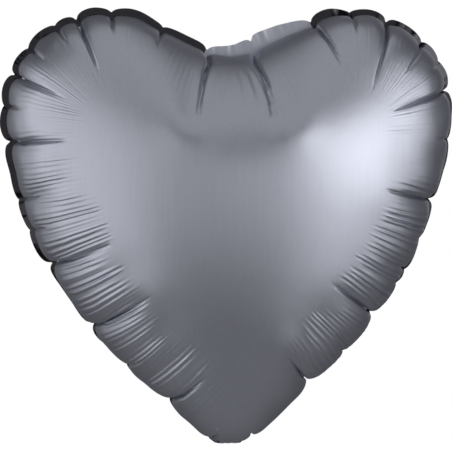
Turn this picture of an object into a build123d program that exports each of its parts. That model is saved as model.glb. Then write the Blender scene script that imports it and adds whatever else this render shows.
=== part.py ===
from build123d import *
import math
import os

# A heart-shaped foil balloon, inflated, in millimetres.
# +Z is up, the front panel faces -Y and the flat seam lies in the plane Y = 0.
# The origin is the middle of the neck, on the fold line where a ribbon is tied.

# Foil and welds.  The drawn thicknesses stand in for films of a few hundredths of a millimetre.
FOIL = 0.5                  # one panel of foil
VALVE_FILM = 0.15           # one film of the filling valve
WELD = 0.1                  # a weld between two films
SEAL_HALF = VALVE_FILM + WELD / 2   # half of the gap that the rim seal fills
FLANGE = 8.0                # width of the flat heat-sealed rim

# Inflated body
HALF_THICKNESS = 101.0      # seam plane to the crown of one panel
BODY_CENTRE_Z = 186.0       # height of the crown above the fold line
CROWN_POWER = 2.5           # fullness of the panel's cross-section
TIP_POWER = 1.6             # how much sooner the panel slims towards the tip
SECTION_SCALES = (1.0, 0.97, 0.9, 0.78, 0.6, 0.36, 0.12)

# Right half of the seam line, from the cleft over the lobe and down to the neck: (x, z)
SEAM_POINTS = [
    (0, 319), (46.5, 332), (97, 352.5), (144.5, 336.5), (174, 293.5), (176, 238),
    (157, 177), (124.5, 119), (85.5, 68), (37, 26.5), (14, 10), (0, 8),
]
CUT_DEPTH = 1.0             # how far a cutting solid runs past what it opens

# Filling valve: a flat tube of two clear films, from the fold line up inside the body
VALVE_WIDTH = 28.0
VALVE_HEIGHT = 112.0
VALVE_WELD_WIDTH = 2.5
COAT_HEIGHT = 14.0          # non-stick print that keeps the valve open through the rim seal
COAT_START = 0.5

# Tail: the strip of both foils below the fold line, folded up behind the body
TAIL_WIDTH = 32.0
TAIL_START = 1.2            # distance of the tail's first edge from the fold axis
TAIL_BEND_LENGTH = 28.0     # stretch that curves along the back panel
TAIL_FLAT_LENGTH = 34.0
TAIL_BEND_RADIUS = 80.0
TAIL_VALVE_LENGTH = 30.0    # how far the valve's films reach down the tail
FOLD_DROP = 2.0             # height of the fold axis below the origin
INLET_RADIUS = 5.0          # round inflation hole in the front foil of the tail
INLET_FROM_END = 16.0


def half_spline(points, level):
    """A smooth curve through one half's (x, z) points, at the height y = level, level at both ends."""
    start = 1 if points[1][0] > points[0][0] else -1
    return Spline(
        *[(x, level, z) for x, z in points],
        tangents=[(start, 0, 0), (-start, 0, 0)],
    )


def heart_wire(points, level):
    """The closed heart whose right half runs through the points."""
    mirrored = [(-x, z) for x, z in points]
    return Wire([half_spline(points, level), half_spline(mirrored, level)])


def offset_points(distance):
    """The right half of the seam line, each of its points moved outwards by a distance."""
    seam = half_spline(SEAM_POINTS, 0)
    moved = []
    for x, z in SEAM_POINTS:
        heading = seam.tangent_at((x, 0, z))
        moved.append((x - heading.Z * distance if x else 0.0, z + heading.X * distance))
    return moved


def crown_section(points, scale, half_thickness, base):
    """One level of the inflated panel: the outline drawn in towards the crown, and its height."""
    lift = (1 - scale**CROWN_POWER) ** (1 / CROWN_POWER)
    level = base + (half_thickness - base) * lift
    drawn = []
    for x, z in points:
        reach = z - BODY_CENTRE_Z
        shrink = scale if reach > 0 else scale**TIP_POWER
        drawn.append((x * scale, BODY_CENTRE_Z + reach * shrink))
    return heart_wire(drawn, -level)


def dome(outline, half_thickness, base):
    """A closed solid from the base level up to the crown."""
    return Solid.make_loft([crown_section(outline, scale, half_thickness, base) for scale in SECTION_SCALES])


def plate(outline, y_low, y_high):
    """A flat sheet inside a closed outline, from y_low to y_high."""
    return extrude(Face(heart_wire(outline, y_high)), amount=y_high - y_low, dir=(0, -1, 0))


def box_between(low, high):
    """A block given by its lowest and highest corners."""
    size = [high[axis] - low[axis] for axis in range(3)]
    middle = [(high[axis] + low[axis]) / 2 for axis in range(3)]
    return Pos(*middle) * Box(*size)


def foil_panel():
    """The front panel: one sheet of foil, domed inside the seam and flat in the rim.

    Its skin is sewn from the outer and inner domes, the rim's edge and the rim's two flat rings.
    """
    rim = plate(offset_points(FLANGE), -SEAL_HALF - FOIL, -SEAL_HALF).faces().sort_by(Axis.Y)
    outer = dome(offset_points(0), HALF_THICKNESS, SEAL_HALF + FOIL).faces().sort_by(Axis.Y)
    inner = dome(offset_points(-FOIL), HALF_THICKNESS - FOIL, SEAL_HALF).faces().sort_by(Axis.Y)
    front_ring = Face(rim[0].outer_wire(), [outer[-1].outer_wire()])
    back_ring = Face(rim[-1].outer_wire(), [inner[-1].outer_wire()])
    skin = Shell([*outer[:-1], *inner[:-1], *rim[1:-1], front_ring, back_ring])
    return Solid(skin)


def rim_seal():
    """The weld that joins both foils all round, but for the neck, where the valve passes."""
    ring = plate(offset_points(FLANGE), -SEAL_HALF, SEAL_HALF) - plate(offset_points(0), -CUT_DEPTH, CUT_DEPTH)
    valve_gap = box_between((-VALVE_WIDTH / 2, -CUT_DEPTH, -CUT_DEPTH), (VALVE_WIDTH / 2, CUT_DEPTH, VALVE_HEIGHT))
    return ring - valve_gap


def valve_film(y_low, y_high):
    """One film of the valve, standing free inside the body above the neck."""
    return box_between((-VALVE_WIDTH / 2, y_low, 0), (VALVE_WIDTH / 2, y_high, VALVE_HEIGHT))


def valve_welds():
    """The two welds along the valve's sides."""
    inner = VALVE_WIDTH / 2 - VALVE_WELD_WIDTH
    right = box_between((inner, -WELD / 2, 0), (VALVE_WIDTH / 2, WELD / 2, VALVE_HEIGHT))
    return Compound([right, mirror(right, about=Plane.YZ)])


def release_coat():
    """The print between the valve's films where the rim seal crosses them."""
    half = VALVE_WIDTH / 2 - VALVE_WELD_WIDTH
    return box_between((-half, -WELD / 2, COAT_START), (half, WELD / 2, COAT_START + COAT_HEIGHT))


def tail_profile(inner_offset, outer_offset, length):
    """A strip's cross-section in the YZ plane, bent and then straight, between two offsets.

    The offsets are measured away from the body, from the mid-surface of the tail.
    """
    centre_y = TAIL_START
    centre_z = TAIL_BEND_RADIUS - FOLD_DROP
    bend = math.degrees(TAIL_BEND_LENGTH / TAIL_BEND_RADIUS)
    near = TAIL_BEND_RADIUS + inner_offset
    far = TAIL_BEND_RADIUS + outer_offset
    straight = length - TAIL_BEND_LENGTH
    lines = []
    ends = []
    for radius in (near, far):
        arc_end = (
            centre_y + radius * math.sin(math.radians(bend)),
            centre_z - radius * math.cos(math.radians(bend)),
        )
        arc_middle = (
            centre_y + radius * math.sin(math.radians(bend / 2)),
            centre_z - radius * math.cos(math.radians(bend / 2)),
        )
        arc_start = (centre_y, centre_z - radius)
        tip = (
            arc_end[0] + straight * math.cos(math.radians(bend)),
            arc_end[1] + straight * math.sin(math.radians(bend)),
        )
        lines.append(ThreePointArc(arc_start, arc_middle, arc_end))
        lines.append(Line(arc_end, tip))
        ends.append((arc_start, tip))
    lines.append(Line(ends[0][0], ends[1][0]))
    lines.append(Line(ends[0][1], ends[1][1]))
    return make_face(lines)


def tail_strip(inner_offset, outer_offset, length, x_low, x_high):
    """A strip of the tail between two offsets from its mid-surface and two widths."""
    section = Plane.YZ.offset(x_low) * tail_profile(inner_offset, outer_offset, length)
    return extrude(section, amount=x_high - x_low)


def inlet_frame():
    """The plane of the inflation hole: its origin on the tail's mid-surface, its normal outwards."""
    bend = TAIL_BEND_LENGTH / TAIL_BEND_RADIUS
    along = TAIL_FLAT_LENGTH - INLET_FROM_END
    y = TAIL_START + TAIL_BEND_RADIUS * math.sin(bend) + along * math.cos(bend)
    z = TAIL_BEND_RADIUS * (1 - math.cos(bend)) - FOLD_DROP + along * math.sin(bend)
    return Plane(origin=(0, y, z), x_dir=(1, 0, 0), z_dir=(0, math.sin(bend), -math.cos(bend)))


def tail_pieces():
    """The tail's layers, from the outer foil with its inflation hole to the inner foil."""
    length = TAIL_BEND_LENGTH + TAIL_FLAT_LENGTH
    side = TAIL_WIDTH / 2
    half_weld = WELD / 2
    film_side = VALVE_WIDTH / 2
    hole = inlet_frame() * Cylinder(INLET_RADIUS, 4 * FOIL)
    front = tail_strip(SEAL_HALF, SEAL_HALF + FOIL, length, -side, side) - hole
    back = tail_strip(-SEAL_HALF - FOIL, -SEAL_HALF, length, -side, side)
    valve_front = tail_strip(half_weld, SEAL_HALF, TAIL_VALVE_LENGTH, -film_side, film_side)
    valve_back = tail_strip(-SEAL_HALF, -half_weld, TAIL_VALVE_LENGTH, -film_side, film_side)
    weld = tail_strip(-SEAL_HALF, SEAL_HALF, length, film_side, side)
    return {
        "tail_front_foil": front,
        "tail_back_foil": back,
        "tail_valve_front_film": valve_front,
        "tail_valve_back_film": valve_back,
        "tail_side_welds": Compound([weld, mirror(weld, about=Plane.YZ)]),
    }


def main():
    front = foil_panel()
    pieces = {
        "front_foil_panel": front,
        "back_foil_panel": mirror(front, about=Plane.XZ),
        "rim_seal_band": rim_seal(),
        "valve_front_film": valve_film(-SEAL_HALF, -WELD / 2),
        "valve_back_film": valve_film(WELD / 2, SEAL_HALF),
        "valve_side_welds": valve_welds(),
        "valve_release_coat": release_coat(),
    }
    pieces.update(tail_pieces())
    os.makedirs("parts", exist_ok=True)
    for name, piece in pieces.items():
        export_step(piece, f"parts/{name}.step")
    inlet = inlet_frame()
    print("inlet at", inlet.origin, "facing", inlet.z_dir)


main()
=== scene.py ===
import math

import bpy
import numpy as np
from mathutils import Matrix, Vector, geometry
from mathutils.bvhtree import BVHTree


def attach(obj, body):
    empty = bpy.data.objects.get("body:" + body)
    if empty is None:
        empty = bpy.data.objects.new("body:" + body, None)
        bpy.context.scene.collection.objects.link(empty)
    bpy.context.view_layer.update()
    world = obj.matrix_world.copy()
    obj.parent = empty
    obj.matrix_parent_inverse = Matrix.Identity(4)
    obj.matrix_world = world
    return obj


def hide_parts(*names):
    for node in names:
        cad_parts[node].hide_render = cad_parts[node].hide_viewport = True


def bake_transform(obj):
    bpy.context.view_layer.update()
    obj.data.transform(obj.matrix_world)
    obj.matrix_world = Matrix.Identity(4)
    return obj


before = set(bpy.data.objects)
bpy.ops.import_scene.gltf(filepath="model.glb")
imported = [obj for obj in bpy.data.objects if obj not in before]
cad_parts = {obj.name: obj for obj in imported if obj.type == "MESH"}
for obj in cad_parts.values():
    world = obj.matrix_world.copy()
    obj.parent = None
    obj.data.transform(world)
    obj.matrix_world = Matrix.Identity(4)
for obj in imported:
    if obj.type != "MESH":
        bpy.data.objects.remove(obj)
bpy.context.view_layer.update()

# ---------------------------------------------------------------- dimensions, in millimetres
MM = 0.001
CLOTH_SCALE = 0.01      # the cloth is inflated at ten times its size, in metres

# Right half of the flat pattern's seam line, from the neck up to the cleft: (x, z).
# They are control points of a smooth closed curve, which rounds every corner.
FLAT_OUTLINE = [
    (0, 8), (13, 8), (16, 9), (31, 13), (71, 36), (126, 78), (168, 129), (197, 182), (214, 239),
    (221, 297), (213, 347), (187, 387), (147, 415), (103, 426), (64, 422), (31, 416), (0, 411),
]
HUB = (0, 220)          # the point of the flat pattern that clock angles are measured round
FLANGE = 8.0            # width of the heat-sealed rim
NECK_Z = 1.5            # height of the seam at the neck, where the rim folds back with the tail
WIDTH = 372.0           # across the inflated balloon, rim included

# Gathers in the rim: (clock angle in degrees from the cleft, strength, length inwards, slant in degrees)
GATHERS = [
    (-6.5, 0.8, 108, 3), (7, 0.8, 124, -8), (22, 0.7, 74, 0), (31, 0.35, 45, 0), (39.5, 0.9, 88, 0),
    (49, 0.5, 60, 0), (54.5, 0.3, 40, 0), (61.5, 0.9, 90, 0), (73, 0.35, 48, 0), (88, 0.9, 98, 0),
    (99, 0.3, 45, 0), (108, 0.4, 56, 0), (112.5, 0.4, 48, 0), (124, 1.0, 104, 0), (138, 0.4, 52, 0),
    (152, 0.9, 84, 0), (174, 0.5, 30, 0), (185.5, 0.5, 30, 0), (201, 0.8, 80, 0), (217, 0.4, 52, 0),
    (232.5, 1.0, 100, 0), (254.5, 1.0, 98, 0), (265, 0.3, 45, 0), (273, 0.35, 48, 0), (287, 0.9, 84, 0),
    (295, 0.35, 40, 0), (302.5, 0.8, 72, 0), (309.5, 0.4, 40, 0), (317, 0.4, 40, 0), (322, 0.9, 76, 0),
    (330, 0.5, 45, 0), (341.5, 0.4, 45, 0),
]
GATHER_SPACING = 1.0    # how closely the seam is read to place them

# Inflation
CLOTH_SPACING = 5.0
CLOTH_FRAMES = 24
CLOTH_RINGS = (0.8, 1.7, 2.6, 3.6, 4.6, 5.7, 6.8)   # rings along the seam, in spacings
CORE_COARSER = 1.25     # spacing of the cloth's core, in spacings
SEED_BULGE = 2.0        # how far the sheets start apart, from the seam plane
SEED_REACH = 60         # how far in from the seam that grows
SEED_NOTCH = 1.5        # how far a full gather starts drawn in
GATHER_SHRINK = 0.05    # share of the film that a full gather takes up
RIM_SHRINK = 0.15       # share that the wrinkles between gathers take up at the rim
RIM_REACH = 45          # how far in from the rim they go
SMOOTHING = 14
CLEFT_SMOOTHING = 36    # extra passes that keep the film under the cleft a plain facet
CLEFT_REACH = (50, 115)                 # whole up to the first distance from the cleft, none past the second

# Finished skins
SKIN_SPACING = 1.2
SKIN_RINGS = (
    1.5, 3.2, 5.2, 7.6, 10.4, 13.5, 17, 21, 25, 29, 33, 37.5,
    42, 46.5, 51, 55.5, 60, 65, 70, 75, 80, 86, 92, 98,
)
SKIN_OUTER_RINGS = ((103, 2), (108, 4))     # (distance in, how many times coarser)
SKIN_CORE_SPACING = 6.0
READING_SPACING = 3.0   # how closely the seam is read to place the skins' points along it
NOTCH_DEPTH = 4.0       # notch in the seam at a full gather
NOTCH_WIDTH = 3.5
NOTCH_REACH = 6.0       # how fast it fades away from the rim
CUSHION = 3.5           # how far the rim puffs out between gathers
CUSHION_RISE = 9        # from the seam
CUSHION_FADE = (30, 95)
CUSHION_WIDTH = 3.2     # how far a gather's hollow spreads to its sides
CREASE_DEPTH = 9.0      # extra depth of a full gather's sharp crease
CREASE_WIDTH = 1.0

# Fine wrinkles that run in from the rim, and how strong they are at clock angles: (angle, share)
RIPPLES = ((5.8, 0.42, 11), (4.7, 0.38, 12), (3.7, 0.2, 13))    # (wavelength, height, seed)
RIPPLE_SHARES = [
    (-180, 0), (-166, 0.1), (-158, 1.9), (-82, 1.9), (-68, 0.3), (-40, 0.12), (-12, 0.1), (-6, 0.3),
    (-3.5, 2.0), (3.5, 2.0), (6, 0.3), (12, 0.1), (50, 0.12), (78, 0.4), (95, 2.3), (152, 2.3),
    (164, 0.1), (180, 0),
]
RIPPLE_PATCH = 26       # size of the patches they come in
RIPPLE_DRIFT = 3.0      # how far their phase wanders, in radians
RIPPLE_START = (14, 46)         # distance in over which they grow
RIPPLE_LATER = (30, 20)         # how much later they do under the cleft
RIPPLE_CLEFT = 42
RIPPLE_END = 76         # distance in from which they fade
RIPPLE_FADE = 22

# How far back the rim leans at clock angles round the heart, in degrees: (angle, lean)
RIM_LEAN = [
    (-180, 80), (-172, 75), (-150, 66), (-112, 60), (-98, 30), (-85, 8), (-60, 4), (-20, 6), (0, 0), (22, 4),
    (34, 25), (44, 20), (50, 12), (56, 25), (70, 30), (110, 35), (150, 45), (172, 75), (180, 80),
]
LEAN_WAVE = 7           # how much that varies, in degrees
RIM_SHARES = (0, 0.3, 0.65, 1)      # the rim's rings, in widths from the seam
RIM_CLEARANCE = 0.5     # least gap between the rim and the skin it leans over

# Over the cleft the back foil's satin edge stands up past the weld: (clock angle, width in FLANGEs)
PALE_RIM = [(-6.5, 1), (2, 1.4), (8, 2.0), (15, 1.7), (22, 1)]

# Filling valve: two clear films that rise from the neck inside the body, with a print between them
VALVE_BOTTOM = 3.0
VALVE_HEIGHT = 112.0
VALVE_WIDTHS = [(0, 7), (9, 12), (13, 14), (112, 14)]   # (height above its bottom, half width)
VALVE_GAP = 0.12
VALVE_ROW = 3.5
PRINT_TOP = 14.5
PRINT_INSET = 2.5       # from the films' side edges

# Tail: the strip of both foils folded up behind the body, as (distance along it, half width)
TAIL_WIDTHS = [(0, 7), (5, 8), (9, 10), (20, 14.5), (30, 16), (80, 16)]
TAIL_TOP = 2.5          # where it starts, over the neck's rim
TAIL_FOLD = 1.2         # radius of the fold
TAIL_FOLD_Z = -2.0
TAIL_BEND = (80.0, 28.0)    # radius and length of the curl
TAIL_STRAIGHT = 34.0
TAIL_GAP = 0.35         # from the tail's middle to each foil
TAIL_SPACING = 1.6
PLEAT_HEIGHT = 0.35
PLEAT_PLACE = (16, 13)  # distance along the tail, and reach
INLET_FROM_END = 16.0
INLET_RADIUS = 5.0


# ---------------------------------------------------------------- flat pattern
def smooth_loop(half):
    """A closed, counter-clockwise curve from the right half's control points."""
    points = np.array(half + [(-x, z) for x, z in half[-2:0:-1]], float)
    for _ in range(5):
        after = np.roll(points, -1, axis=0)
        points = np.stack([0.75 * points + 0.25 * after, 0.25 * points + 0.75 * after], 1).reshape(-1, 2)
    return points


def loop_length(loop):
    return float(np.linalg.norm(np.roll(loop, -1, axis=0) - loop, axis=1).sum())


def resample(loop, spacing):
    """The same closed curve with evenly spaced points, starting at the middle of the neck."""
    steps = np.linalg.norm(np.roll(loop, -1, axis=0) - loop, axis=1)
    count = int(round(steps.sum() / spacing))
    along = np.concatenate([[0], np.cumsum(steps)])
    closed = np.vstack([loop, loop[:1]])
    stations = np.arange(count) * along[-1] / count
    return np.stack([np.interp(stations, along, closed[:, axis]) for axis in (0, 1)], 1)


def outward(loop):
    """Unit normals of a closed, counter-clockwise curve, pointing out of it."""
    tangent = np.roll(loop, -1, axis=0) - np.roll(loop, 1, axis=0)
    tangent /= np.linalg.norm(tangent, axis=1)[:, None]
    return np.stack([tangent[:, 1], -tangent[:, 0]], 1)


def rim_coordinates(loop, points):
    """Each point's distance in from the seam, its station along it, and whether it is inside."""
    distance = np.full(len(points), np.inf)
    station = np.zeros(len(points))
    inside = np.zeros(len(points), bool)
    start = 0.0
    for a, b in zip(loop, np.roll(loop, -1, axis=0)):
        edge = b - a
        length = math.hypot(*edge)
        share = np.clip((points - a) @ edge / length**2, 0, 1)
        gap = np.hypot(*(points - a - share[:, None] * edge).T)
        nearer = gap < distance
        distance[nearer] = gap[nearer]
        station[nearer] = (start + share * length)[nearer]
        if a[1] != b[1]:
            crosses = (a[1] > points[:, 1]) != (b[1] > points[:, 1])
            inside ^= crosses & (points[:, 0] < a[0] + (points[:, 1] - a[1]) * edge[0] / edge[1])
        start += length
    return distance, station, inside


def triangulate(curve, loop, rings, core_spacing):
    """A flat mesh: the seam's points first, then rings along the seam, then an even core."""
    layers = [loop]
    for depth, spacing in rings:
        ring = resample(curve, spacing)
        ring = ring - outward(ring) * depth
        distance, _, inside = rim_coordinates(loop, ring)
        layers.append(ring[inside & (distance > 0.93 * depth)])
    low, high = loop.min(0), loop.max(0)
    rows = np.arange(low[1], high[1], core_spacing * math.sqrt(3) / 2)
    columns = np.arange(low[0], high[0], core_spacing)
    core = np.array([(x + (row % 2) * core_spacing / 2, z) for row, z in enumerate(rows) for x in columns])
    core += np.random.default_rng(3).uniform(-0.06, 0.06, core.shape) * core_spacing
    distance, _, inside = rim_coordinates(loop, core)
    layers.append(core[inside & (distance > rings[-1][0] + 0.75 * core_spacing)])
    points = np.vstack(layers)
    edges = [(i, (i + 1) % len(loop)) for i in range(len(loop))]
    made = geometry.delaunay_2d_cdt([Vector(p) for p in points], edges, [], 1, 1e-7)
    return np.array([tuple(p) for p in made[0]]), np.array([tuple(f) for f in made[2]])


def clock_angle(points):
    """Angles round the heart in degrees: 0 at the cleft, growing towards +X."""
    return np.degrees(np.arctan2(points[:, 0] - HUB[0], points[:, 1] - HUB[1]))


class Gather:
    """A fold where the seam takes up spare film: where it starts and which way it runs in."""

    def __init__(self, loop, normals, angle, strength, length, slant):
        nearest = int(np.argmin(np.abs((clock_angle(loop) - angle + 180) % 360 - 180)))
        turn = math.radians(slant)
        inward = -normals[nearest]
        self.origin = loop[nearest]
        self.station = nearest * loop_length(loop) / len(loop)
        self.along = np.array([
            inward[0] * math.cos(turn) - inward[1] * math.sin(turn),
            inward[0] * math.sin(turn) + inward[1] * math.cos(turn),
        ])
        self.strength = strength
        self.length = length

    def seam_distance(self, station, total):
        return np.abs((station - self.station + total / 2) % total - total / 2)

    def local(self, points):
        """How far each point is along the fold, and how far to its side."""
        offset = points - self.origin
        return offset @ self.along, offset @ np.array([-self.along[1], self.along[0]])


# ---------------------------------------------------------------- inflation
def in_plane(points, depth=0.0):
    """Flat (x, z) points as (x, y, z), y being a number or one value for each point."""
    return np.stack([points[:, 0], np.zeros(len(points)) + depth, points[:, 1]], 1)


def inflate(curve, gathers):
    """Fills the flat envelope by a cloth simulation.

    Gives the flat mesh, its triangles, the places of the front sheet and the back sheet, and the seam.
    """
    loop = resample(curve, CLOTH_SPACING)
    total = loop_length(loop)
    rings = [(share * CLOTH_SPACING, CLOTH_SPACING) for share in CLOTH_RINGS]
    flat, triangles = triangulate(curve, loop, rings, CORE_COARSER * CLOTH_SPACING)
    seam_count, count = len(loop), len(flat)
    depth, station, _ = rim_coordinates(loop, flat)
    depth[:seam_count] = 0
    inward = -outward(loop)[np.clip((station / total * seam_count).astype(int), 0, seam_count - 1)]

    start = flat.copy()
    bulge = SEED_BULGE * np.sqrt(np.minimum(depth, SEED_REACH) / SEED_REACH)
    shrink = RIM_SHRINK * (1 - smoothstep(0, RIM_REACH, depth))
    for gather in gathers:
        aside = gather.seam_distance(station, total)
        pinch = gather.strength * np.exp(-((aside / (0.9 * CLOTH_SPACING)) ** 2))
        start += inward * (SEED_NOTCH * pinch * np.clip(1 - depth / gather.length, 0, 1))[:, None]
        bulge *= 1 - 0.9 * pinch * np.clip(1 - depth / gather.length, 0, 1)
        fade = np.clip((gather.length - depth) / (0.6 * gather.length), 0, 1)
        taken = GATHER_SHRINK * gather.strength * fade * np.exp(-((aside / (0.8 * CLOTH_SPACING)) ** 2))
        shrink = np.maximum(shrink, taken)

    out = outward(loop)
    notched = start[:seam_count]
    rest_bulge = 0.01 * np.minimum(depth, SEED_REACH)
    places = [in_plane(start, -bulge), in_plane(start, bulge)[seam_count:]]
    rest = [in_plane(flat, -rest_bulge), in_plane(flat, rest_bulge)[seam_count:]]
    for width in (FLANGE / 2, FLANGE):
        places.append(in_plane(notched + out * width))
        rest.append(in_plane(loop + out * width))
    places, rest = np.vstack(places), np.vstack(rest)

    on_back = np.arange(count) + np.where(np.arange(count) < seam_count, 0, count - seam_count)
    faces = [tuple(map(int, t)) for t in triangles]
    faces += [tuple(map(int, t)) for t in on_back[triangles[:, [0, 2, 1]]]]
    first_ring = 2 * count - seam_count
    second_ring = first_ring + seam_count
    for i in range(seam_count):
        j = (i + 1) % seam_count
        faces.append((i, first_ring + i, first_ring + j, j))
        faces.append((first_ring + i, second_ring + i, second_ring + j, first_ring + j))

    envelope = new_mesh("envelope", places * CLOTH_SCALE, faces)
    envelope.shape_key_add(name="Basis")
    cut = envelope.shape_key_add(name="Cut")
    cut.data.foreach_set("co", (rest * CLOTH_SCALE).ravel())
    filled = envelope.vertex_groups.new(name="filled")
    filled.add(list(range(first_ring)), 1.0, "REPLACE")
    gathered = envelope.vertex_groups.new(name="gathered")
    weights = np.concatenate([shrink, shrink[seam_count:], shrink[:seam_count], shrink[:seam_count]])
    for i, weight in enumerate(weights):
        gathered.add([i], float(weight), "REPLACE")
    add_cloth(envelope, cut)

    scene = bpy.context.scene
    for number in range(1, CLOTH_FRAMES + 1):
        scene.frame_set(number)
    solved = envelope.evaluated_get(bpy.context.evaluated_depsgraph_get())
    xyz = np.array([v.co for v in solved.data.vertices]) / CLOTH_SCALE
    scene.frame_set(1)
    bpy.data.objects.remove(envelope)

    seam = xyz[:seam_count]
    neck = seam[(loop[:, 1] < HUB[1] / 4) & (np.abs(loop[:, 0]) < 2 * FLANGE)].mean(0)
    neck[2] = seam[:, 2].min()
    xyz = (xyz - [neck[0], seam[:, 1].mean(), neck[2]]) * (WIDTH / np.ptp(xyz[:, 0])) + [0, 0, NECK_Z]
    seam = xyz[:seam_count]
    sheets = [xyz[:count], np.vstack([seam, xyz[count:first_ring]])]
    cleft = 1 - smoothstep(*CLEFT_REACH, np.linalg.norm(flat - FLAT_OUTLINE[-1], axis=1))
    front, back = (relaxed(sheet, triangles, seam_count, cleft) for sheet in sheets)
    return {"flat": flat, "triangles": triangles, "front": front, "back": back, "seam": front[:seam_count]}


def relaxed(points, triangles, seam_count, cleft):
    """Evens out the lumps in an inflated sheet without shrinking it, and more of them under the cleft.

    The seam only slides along itself.
    """
    sides = [triangles[:, pair] for pair in ([0, 1], [1, 2], [2, 0])]
    edges = np.unique(np.sort(np.vstack(sides)), axis=0)
    inner = edges[(edges >= seam_count).any(1)]
    inside_cleft = np.where(np.arange(len(points)) < seam_count, 0, cleft)[:, None]
    for step in range(2 * SMOOTHING + CLEFT_SMOOTHING):
        total, near = np.zeros_like(points), np.zeros(len(points))
        for a, b in ((0, 1), (1, 0)):
            np.add.at(total, inner[:, a], points[inner[:, b]])
            np.add.at(near, inner[:, a], 1)
        seam = points[:seam_count]
        total[:seam_count] = np.roll(seam, 1, axis=0) + np.roll(seam, -1, axis=0)
        near[:seam_count] = 2
        pull = (0.5 if step % 2 == 0 else -0.52) if step < 2 * SMOOTHING else 0.5 * inside_cleft
        points = points + (total / near[:, None] - points) * pull
    points[:seam_count, 1] = 0
    return points


def new_mesh(name, places, faces):
    mesh = bpy.data.meshes.new(name)
    mesh.from_pydata(np.asarray(places).tolist(), [], [tuple(map(int, f)) for f in faces])
    mesh.update()
    made = bpy.data.objects.new(name, mesh)
    bpy.context.scene.collection.objects.link(made)
    return made


def add_cloth(envelope, cut):
    """Thin film that hardly stretches, blown up without gravity."""
    modifier = envelope.modifiers.new("film", "CLOTH")
    film = modifier.settings
    film.quality = 8
    film.mass = 0.01
    film.air_damping = 1.0
    film.tension_stiffness = 15
    film.compression_stiffness = 15
    film.shear_stiffness = 15
    film.bending_stiffness = 0.1
    film.tension_damping = 5
    film.compression_damping = 5
    film.shear_damping = 5
    film.bending_damping = 0.5
    film.use_pressure = True
    film.uniform_pressure_force = 5
    film.vertex_group_pressure = "filled"
    film.rest_shape_key = cut
    film.shrink_max = 1.0
    film.vertex_group_shrink = "gathered"
    film.effector_weights.gravity = 0
    modifier.collision_settings.use_self_collision = False
    modifier.collision_settings.use_collision = False
    modifier.point_cache.frame_start = 1
    modifier.point_cache.frame_end = CLOTH_FRAMES + 1
    bpy.context.scene.frame_start = 1
    bpy.context.scene.frame_end = CLOTH_FRAMES + 1


# ---------------------------------------------------------------- finished skins
def subdivided(places, faces, levels=2):
    """The smooth limit surface of a mesh, as points and triangles."""
    cage = new_mesh("cage", places, faces)
    smooth = cage.modifiers.new("smooth", "SUBSURF")
    smooth.levels = levels
    mesh = cage.evaluated_get(bpy.context.evaluated_depsgraph_get()).to_mesh()
    points = np.array([v.co for v in mesh.vertices])
    corners = [tuple(p.vertices) for p in mesh.polygons]
    split = [t for c in corners for t in ((c[0], c[1], c[2]), (c[0], c[2], c[3]))]
    bpy.data.objects.remove(cage)
    return points, np.array(split)


def flat_cross(p, q):
    return p[:, 0] * q[:, 1] - p[:, 1] * q[:, 0]


def lift(flat_points, cage_flat, triangles, sheets):
    """Where flat points lie on each inflated sheet: the sheets' smooth surfaces, read at those points."""
    chart, split = subdivided(in_plane(cage_flat), triangles)
    tree = BVHTree.FromPolygons(chart.tolist(), split.tolist())
    found = [tree.find_nearest(Vector((x, 0, z)))[:3:2] for x, z in flat_points]
    where = np.array([tuple(f[0]) for f in found])[:, [0, 2]]
    corner = split[[f[1] for f in found]]
    a, b, c = (chart[corner[:, k]][:, [0, 2]] for k in range(3))
    whole = flat_cross(b - a, c - a)
    share_b = flat_cross(where - a, c - a) / whole
    share_c = flat_cross(b - a, where - a) / whole
    lifted = []
    for sheet in sheets:
        smooth, _ = subdivided(sheet, triangles)
        pa, pb, pc = (smooth[corner[:, k]] for k in range(3))
        lifted.append(pa + (pb - pa) * share_b[:, None] + (pc - pa) * share_c[:, None])
    return lifted


def spline_ring(points, count):
    """A closed ring's cubic B-spline, read at evenly spaced places."""
    place = np.arange(count) * len(points) / count
    whole = place.astype(int)
    t = (place - whole)[:, None]
    before, here, after, last = (points[(whole + k) % len(points)] for k in (-1, 0, 1, 2))
    return (
        (1 - t) ** 3 * before + (3 * t**3 - 6 * t**2 + 4) * here
        + (-3 * t**3 + 3 * t**2 + 3 * t + 1) * after + t**3 * last
    ) / 6


def vertex_normals(points, triangles):
    a, b, c = (points[triangles[:, k]] for k in range(3))
    face = np.cross(b - a, c - a)
    normals = np.zeros_like(points)
    for k in range(3):
        np.add.at(normals, triangles[:, k], face)
    return normals / np.maximum(np.linalg.norm(normals, axis=1), 1e-12)[:, None]


def smoothstep(low, high, value):
    t = np.clip((value - low) / (high - low), 0, 1)
    return t * t * (3 - 2 * t)


def slow_noise(station, total, scale, seed):
    """A smooth random value from -1 to 1 along the seam, the same where its two ends meet."""
    count = max(4, int(round(total / scale)))
    values = np.random.default_rng(seed).uniform(-1, 1, count)
    place = station / total * count
    whole = np.floor(place).astype(int)
    t = place - whole
    t = t * t * (3 - 2 * t)
    return values[whole % count] * (1 - t) + values[(whole + 1) % count] * t


def notch_field(station, depth, total, gathers):
    """How far the seam is drawn in at each point, fading away from the rim."""
    drawn = np.zeros(len(station))
    for gather in gathers:
        aside = gather.seam_distance(station, total)
        drawn = np.maximum(drawn, NOTCH_DEPTH * gather.strength * np.exp(-aside / NOTCH_WIDTH))
    return drawn * np.exp(-depth / NOTCH_REACH)


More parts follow.
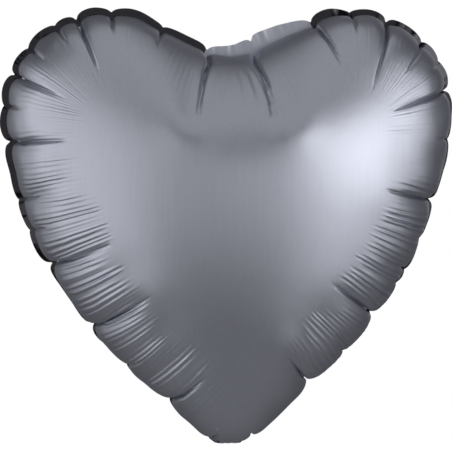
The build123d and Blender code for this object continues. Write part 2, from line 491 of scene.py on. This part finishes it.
def relief_field(flat, depth, gathers):
    """How far the rim's cushions stand out and the gathers' sharp creases cut in."""
    hollow = np.zeros(len(flat))
    sunk = np.zeros(len(flat))
    for gather in gathers:
        along, aside = gather.local(flat)
        share = np.clip(along / gather.length, 0, 1)
        started = along > -2
        spread = CUSHION_WIDTH * (1 - 0.5 * share)
        hollow = np.maximum(hollow, gather.strength * (1 - share) * started * np.exp(-np.abs(aside) / spread))
        width = CREASE_WIDTH * (1 - 0.4 * share)
        profile = np.exp(-(np.sqrt(aside**2 + 0.05) - 0.22) / width)
        fade = (1 - share**3) * smoothstep(0, 5, along)
        sunk = np.maximum(sunk, CREASE_DEPTH * gather.strength * profile * fade * started)
    puff = CUSHION * smoothstep(0, CUSHION_RISE, depth) * (1 - smoothstep(*CUSHION_FADE, depth))
    return puff * (1 - hollow) - sunk


def ripple_field(clock, station, depth, total, side):
    """Fine wrinkles that run in from the rim, in patches, and end where the smooth crown begins."""
    height = np.zeros(len(station))
    for wavelength, tall, seed in RIPPLES:
        patch = smoothstep(-1.0, 0.2, slow_noise(station, total, RIPPLE_PATCH, seed + side))
        drift = RIPPLE_DRIFT * slow_noise(station, total, 36, seed + side + 50)
        height += tall * patch * np.sin(2 * math.pi * station / wavelength + drift)
    height *= 0.7 + 0.5 * slow_noise(station, total, 6, 70 + side)
    height *= np.interp(clock, *zip(*RIPPLE_SHARES))
    cleft = np.exp(-(((station - total / 2) / RIPPLE_CLEFT) ** 2))
    start, full = (first + later * cleft for first, later in zip(RIPPLE_START, RIPPLE_LATER))
    end = RIPPLE_END + 9 * slow_noise(station, total, 35, 90 + side)
    end += 8 * slow_noise(station, total, 5, 92 + side)
    band = smoothstep(start, full, depth) * (1 - smoothstep(0, 1, (depth - end) / RIPPLE_FADE))
    return height * band


def finish_skins(curve, solved, gathers):
    """The front and back skins and the flat rim as fine meshes, with their creases and wrinkles.

    Gives the clock angles of the rim's points too.
    """
    loop = resample(curve, SKIN_SPACING)
    total = loop_length(loop)
    rings = [(depth, SKIN_SPACING) for depth in SKIN_RINGS]
    rings += [(depth, SKIN_SPACING * coarser) for depth, coarser in SKIN_OUTER_RINGS]
    flat, triangles = triangulate(curve, loop, rings, SKIN_CORE_SPACING)
    depth, station, _ = rim_coordinates(resample(curve, READING_SPACING), flat)
    depth[:len(loop)] = 0
    station[:len(loop)] = np.arange(len(loop)) * total / len(loop)
    front, back = lift(flat, solved["flat"], solved["triangles"], [solved["front"], solved["back"]])

    seam = spline_ring(solved["seam"], len(loop))
    tangent = np.roll(seam, -3, axis=0) - np.roll(seam, 3, axis=0)
    out = np.stack([tangent[:, 2], np.zeros(len(seam)), -tangent[:, 0]], 1)
    out /= np.linalg.norm(out, axis=1)[:, None]
    at = np.clip((station / total * len(loop)).astype(int), 0, len(loop) - 1)
    clock = clock_angle(loop)
    drawn = notch_field(station, depth, total, gathers)
    relief = relief_field(flat, depth, gathers)
    sheets = []
    for side, sheet in enumerate((front, back)):
        sheet[:len(loop)] = seam
        faces = triangles if side == 0 else triangles[:, ::-1]
        raised = ripple_field(clock[at], station, depth, total, side) + relief
        sheet = sheet - out[at] * drawn[:, None] + vertex_normals(sheet, faces) * raised[:, None]
        sheets.append((sheet, faces))
    rim = rim_rings(clock, seam, out, drawn[:len(loop)], total)
    for ring in rim[1:]:
        for points, faces in sheets:
            lay_over(ring, points, faces)
    return sheets, rim, clock


def lay_over(ring, points, faces):
    """Moves the ring's points that a skin would cover just outside it."""
    tree = BVHTree.FromPolygons(points.tolist(), faces.tolist())
    for i, place in enumerate(ring):
        on_skin, normal, _, _ = tree.find_nearest(Vector(place))
        if (Vector(place) - on_skin).dot(normal) < RIM_CLEARANCE:
            ring[i] = on_skin + normal * RIM_CLEARANCE


def rim_rings(clock, seam, out, drawn, total):
    """The flat rim's rings, from the seam to its cut edge, leaning back where it has curled."""
    stations = np.arange(len(seam)) * total / len(seam)
    angles, leans = zip(*RIM_LEAN)
    lean = np.radians(np.interp(clock, angles, leans) + LEAN_WAVE * slow_noise(stations, total, 22, 40))
    wave = 0.5 * slow_noise(stations, total, 9, 41) + 0.35 * slow_noise(stations, total, 4, 42)
    rings = []
    for share in RIM_SHARES:
        reach = FLANGE * share * np.interp(clock, *zip(*PALE_RIM))
        y = reach * np.sin(lean) + wave * share
        ring = seam + out * (reach * np.cos(lean) - drawn * (1 + 0.5 * share))[:, None]
        ring[:, 1] = y
        rings.append(ring)
    return rings


# ---------------------------------------------------------------- tail
def tail_path(gap):
    """The side view of one of the tail's foils: points (y, z) from the neck's rim round to its end."""
    radius, bend_length = TAIL_BEND
    fold = [(0, TAIL_TOP), (0, TAIL_TOP - 1.5)]
    fold += [
        (TAIL_FOLD * (1 - math.cos(a)), TAIL_FOLD_Z + TAIL_FOLD * (1 - math.sin(a)))
        for a in np.linspace(0, math.pi / 2, 7)
    ]
    turns = np.linspace(0, bend_length / radius, 9)[1:]
    fold += [(TAIL_FOLD + radius * math.sin(t), TAIL_FOLD_Z + radius * (1 - math.cos(t))) for t in turns]
    end, turn = np.array(fold[-1]), turns[-1]
    fold.append(tuple(end + TAIL_STRAIGHT * np.array([math.cos(turn), math.sin(turn)])))
    middle = np.array(fold)
    heading = np.gradient(middle, axis=0)
    heading /= np.linalg.norm(heading, axis=1)[:, None]
    return middle + np.stack([heading[:, 1], -heading[:, 0]], 1) * gap


def tail_foil(name, gap, with_inlet):
    """One foil of the tail, cut flat and then laid along its path, pleated lightly where it folds."""
    path = tail_path(gap)
    along = np.concatenate([[0], np.cumsum(np.linalg.norm(np.diff(path, axis=0), axis=1))])
    length = along[-1]
    rows = np.arange(0, length + 0.1, TAIL_SPACING)
    half = np.interp(rows, *zip(*TAIL_WIDTHS))
    edge = [(w, v) for w, v in zip(half, rows)] + [(-w, v) for w, v in zip(half[::-1], rows[::-1])]
    columns = np.arange(-15, 15.1, TAIL_SPACING)
    inner = [(u, v) for v, w in zip(rows[1:-1], half[1:-1]) for u in columns if abs(u) < w - 0.8]
    constraints = [(i, (i + 1) % len(edge)) for i in range(len(edge))]
    centre = np.array([0, length - INLET_FROM_END])
    circle = []
    if with_inlet:
        inner = [p for p in inner if np.hypot(*(p - centre)) > INLET_RADIUS + 0.7]
        circle = [
            tuple(centre + INLET_RADIUS * np.array([math.cos(a), math.sin(a)]))
            for a in np.linspace(0, 2 * math.pi, 32, endpoint=False)
        ]
        first = len(edge)
        constraints += [(first + i, first + (i + 1) % len(circle)) for i in range(len(circle))]
    made = geometry.delaunay_2d_cdt([Vector(p) for p in edge + circle + inner], constraints, [], 1, 1e-7)
    flat = np.array([tuple(p) for p in made[0]])
    faces = np.array([tuple(f) for f in made[2]])
    if with_inlet:
        faces = faces[np.linalg.norm(flat[faces].mean(1) - centre, axis=1) > INLET_RADIUS * 0.98]
    yz = np.stack([np.interp(flat[:, 1], along, path[:, k]) for k in (0, 1)], 1)
    heading = np.stack([np.interp(flat[:, 1], along, np.gradient(path[:, k], along)) for k in (0, 1)], 1)
    heading /= np.linalg.norm(heading, axis=1)[:, None]
    normal = np.stack([heading[:, 1], -heading[:, 0]], 1)
    middle, reach = PLEAT_PLACE
    pleat = PLEAT_HEIGHT * np.cos(flat[:, 0] * 1.15 + 0.4) * np.exp(-(((flat[:, 1] - middle) / reach) ** 2))
    curl = -0.012 * flat[:, 0] ** 2 * smoothstep(24, 50, flat[:, 1])
    yz = yz + normal * (pleat + curl)[:, None]
    places = np.stack([flat[:, 0], yz[:, 0], yz[:, 1]], 1)
    if gap > 0:
        faces = faces[:, ::-1]
    return new_mesh(name, places * MM, faces)


def valve_sheet(name, gap, top, inset):
    """A sheet of the valve, from the neck up inside the body."""
    heights = np.linspace(0, top - VALVE_BOTTOM, max(6, int((top - VALVE_BOTTOM) / VALVE_ROW)))
    shares = np.linspace(-1, 1, 9)
    half = np.interp(heights, *zip(*VALVE_WIDTHS)) - inset
    places = [(share * w, gap, VALVE_BOTTOM + z) for z, w in zip(heights, half) for share in shares]
    step = len(shares)
    faces = [
        (row * step + i, row * step + i + 1, (row + 1) * step + i + 1, (row + 1) * step + i)
        for row in range(len(heights) - 1) for i in range(step - 1)
    ]
    return new_mesh(name, np.array(places) * MM, faces)


# ---------------------------------------------------------------- materials
def shader(name, color, roughness, metallic=1.0, streak=0.0, crinkle=0.0, alpha=1.0):
    """A procedural film: its color and gloss vary a little, and the rolling streaks run along Z."""
    material = bpy.data.materials.new(name)
    material.use_nodes = True
    nodes, links = material.node_tree.nodes, material.node_tree.links
    film = nodes["Principled BSDF"]
    film.inputs["Metallic"].default_value = metallic
    film.inputs["Alpha"].default_value = alpha
    place = nodes.new("ShaderNodeTexCoord")
    stretch = nodes.new("ShaderNodeMapping")
    stretch.inputs["Scale"].default_value = (420, 420, 7)
    links.new(place.outputs["Object"], stretch.inputs["Vector"])
    rolled = nodes.new("ShaderNodeTexNoise")
    rolled.inputs["Scale"].default_value = 1.0
    rolled.inputs["Detail"].default_value = 3.0
    links.new(stretch.outputs["Vector"], rolled.inputs["Vector"])

    tint = nodes.new("ShaderNodeMixRGB")
    tint.inputs["Color1"].default_value = [c * (1 - streak) for c in color] + [1]
    tint.inputs["Color2"].default_value = [c * (1 + streak) for c in color] + [1]
    links.new(rolled.outputs["Fac"], tint.inputs["Fac"])
    links.new(tint.outputs["Color"], film.inputs["Base Color"])
    gloss = nodes.new("ShaderNodeMapRange")
    gloss.inputs["To Min"].default_value = roughness * (1 - streak)
    gloss.inputs["To Max"].default_value = roughness * (1 + streak)
    links.new(rolled.outputs["Fac"], gloss.inputs["Value"])
    links.new(gloss.outputs["Result"], film.inputs["Roughness"])
    if crinkle:
        fine = nodes.new("ShaderNodeTexNoise")
        fine.inputs["Scale"].default_value = 90
        fine.inputs["Detail"].default_value = 3.0
        links.new(place.outputs["Object"], fine.inputs["Vector"])
        bump = nodes.new("ShaderNodeBump")
        bump.inputs["Strength"].default_value = crinkle
        bump.inputs["Distance"].default_value = 0.0006
        links.new(fine.outputs["Fac"], bump.inputs["Height"])
        links.new(bump.outputs["Normal"], film.inputs["Normal"])
    return material


def finish(made, *materials):
    """Smooth shading and its materials."""
    made.data.materials.clear()
    for material in materials:
        made.data.materials.append(material)
    for face in made.data.polygons:
        face.use_smooth = True


# ---------------------------------------------------------------- the balloon
outline = smooth_loop(FLAT_OUTLINE)
gather_loop = resample(outline, GATHER_SPACING)
gather_normals = outward(gather_loop)
gathers = [Gather(gather_loop, gather_normals, *row) for row in GATHERS]
solved = inflate(outline, gathers)
sheets, rim, rim_clock = finish_skins(outline, solved, gathers)

foil = shader("graphite_foil", (0.445, 0.46, 0.525), 0.42, streak=0.06, crinkle=0.15)
# The sealed rim's gloss is real, but its near-black colour is painted shade: the real metallic rim looks dark
# only where it mirrors dark surroundings.
sealed_foil_painted_shade = shader("sealed_foil_painted_shade", (0.04, 0.04, 0.046), 0.14, streak=0.05, crinkle=0.3)
clear_film = shader("clear_film", (0.8, 0.8, 0.8), 0.2, metallic=0.0, streak=0.03, alpha=0.35)
release_print = shader("release_print", (0.7, 0.72, 0.75), 0.6, metallic=0.0, streak=0.05)

for name, node, (places, faces) in zip(
    ("front_foil_skin", "back_foil_skin"), ("front_foil_panel", "back_foil_panel"), sheets
):
    skin = new_mesh(name, places * MM, faces)
    finish(skin, foil)
    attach(skin, "balloon")
    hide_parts(node)

count = len(rim[0])
flange_faces = [
    (ring + i, ring + count + i, ring + count + (i + 1) % count, ring + (i + 1) % count)
    for ring in range(0, (len(rim) - 1) * count, count) for i in range(count)
]
flange = new_mesh("seam_flange", np.vstack(rim) * MM, flange_faces)
finish(flange, sealed_foil_painted_shade, foil)
# Over the cleft the rim takes the plain foil; elsewhere it takes the near-black sealed foil, whose darkness
# is painted shade.
for i, face in enumerate(flange.data.polygons):
    face.material_index = int(PALE_RIM[0][0] < rim_clock[i % count] < PALE_RIM[-1][0])
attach(flange, "balloon")
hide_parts("rim_seal_band")

valve_front = valve_sheet("valve_front_skin", -VALVE_GAP, VALVE_HEIGHT, 0)
valve_back = valve_sheet("valve_back_skin", VALVE_GAP, VALVE_HEIGHT, 0)
coat = valve_sheet("release_coat_skin", 0, PRINT_TOP, PRINT_INSET)
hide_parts("valve_front_film", "valve_side_welds")
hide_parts("valve_back_film")
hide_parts("valve_release_coat")
finish(coat, release_print)
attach(coat, "balloon")
for film in (valve_front, valve_back):
    finish(film, clear_film)
    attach(film, "balloon")

tail_front = tail_foil("tail_front_skin", TAIL_GAP, True)
tail_back = tail_foil("tail_back_skin", -TAIL_GAP, False)
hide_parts("tail_front_foil", "tail_side_welds", "tail_valve_front_film")
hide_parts("tail_back_foil", "tail_valve_back_film")
for tail in (tail_front, tail_back):
    finish(tail, foil)
    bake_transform(tail)

for name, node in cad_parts.items():
    finish(node, release_print if "coat" in name else foil if "foil" in name else clear_film)


# ---------------------------------------------------------------- studio, in metres
LIT_POINT = Vector((0, 0, 0.19))    # what every light faces
VIEW_WIDTH = 0.377                  # across the picture at the balloon


def softbox(name, place, size, energy):
    light = bpy.data.lights.new(name, "AREA")
    light.shape = "RECTANGLE"
    light.size, light.size_y = size
    light.energy = energy
    box = bpy.data.objects.new(name, light)
    box.location = place
    box.rotation_euler = (LIT_POINT - Vector(place)).to_track_quat("-Z", "Y").to_euler()
    bpy.context.scene.collection.objects.link(box)


softbox("left_panel", (-1.8, -1.1, 0.3), (2.8, 3.0), 27)
softbox("left_side_panel", (-2.2, 0.6, 0.2), (2.0, 2.6), 8)
softbox("right_panel", (1.75, -1.2, 0.3), (2.4, 2.8), 22)
softbox("right_softbox", (1.4, -1.3, 0.6), (0.9, 1.1), 6)
softbox("front_panel", (0.1, -3.4, 0.2), (2.4, 2.4), 9)
softbox("back_panel", (0.8, 3.0, 0.7), (2.2, 2.0), 5)
softbox("top_panel", (0, -0.4, 2.1), (2.4, 2.8), 10)

corners = [(-3, -3, -2.0), (3, -3, -2.0), (3, 3, -2.0), (-3, 3, -2.0)]
floor = new_mesh("floor", corners, [(0, 1, 2, 3)])
floor.data.materials.append(shader("pale_floor", (0.5, 0.5, 0.5), 0.7, metallic=0.0, streak=0.01))

world = bpy.data.worlds.new("studio")
bpy.context.scene.world = world
world.use_nodes = True
nodes, links = world.node_tree.nodes, world.node_tree.links
nodes["Background"].inputs["Color"].default_value = (0.085, 0.085, 0.091, 1)
backdrop = nodes.new("ShaderNodeBackground")
backdrop.inputs["Color"].default_value = (1, 1, 1, 1)
seen = nodes.new("ShaderNodeLightPath")
choice = nodes.new("ShaderNodeMixShader")
links.new(seen.outputs["Is Camera Ray"], choice.inputs[0])
links.new(nodes["Background"].outputs[0], choice.inputs[1])
links.new(backdrop.outputs[0], choice.inputs[2])
links.new(choice.outputs[0], nodes["World Output"].inputs[0])

camera_data = bpy.data.cameras.new("camera")
camera = bpy.data.objects.new("camera", camera_data)
bpy.context.scene.collection.objects.link(camera)
aim = Vector((-0.0025, 0.0, 0.1812))
turn, rise, distance = math.radians(-6), math.radians(5), 2.2
toward = Vector((math.sin(turn) * math.cos(rise), -math.cos(turn) * math.cos(rise), math.sin(rise)))
camera.location = aim + toward * distance
camera.rotation_euler = (-toward).to_track_quat("-Z", "Y").to_euler()
camera_data.sensor_width = 36
camera_data.lens = camera_data.sensor_width * distance / VIEW_WIDTH
bpy.context.scene.camera = camera
bpy.context.scene.view_settings.view_transform = "Standard"
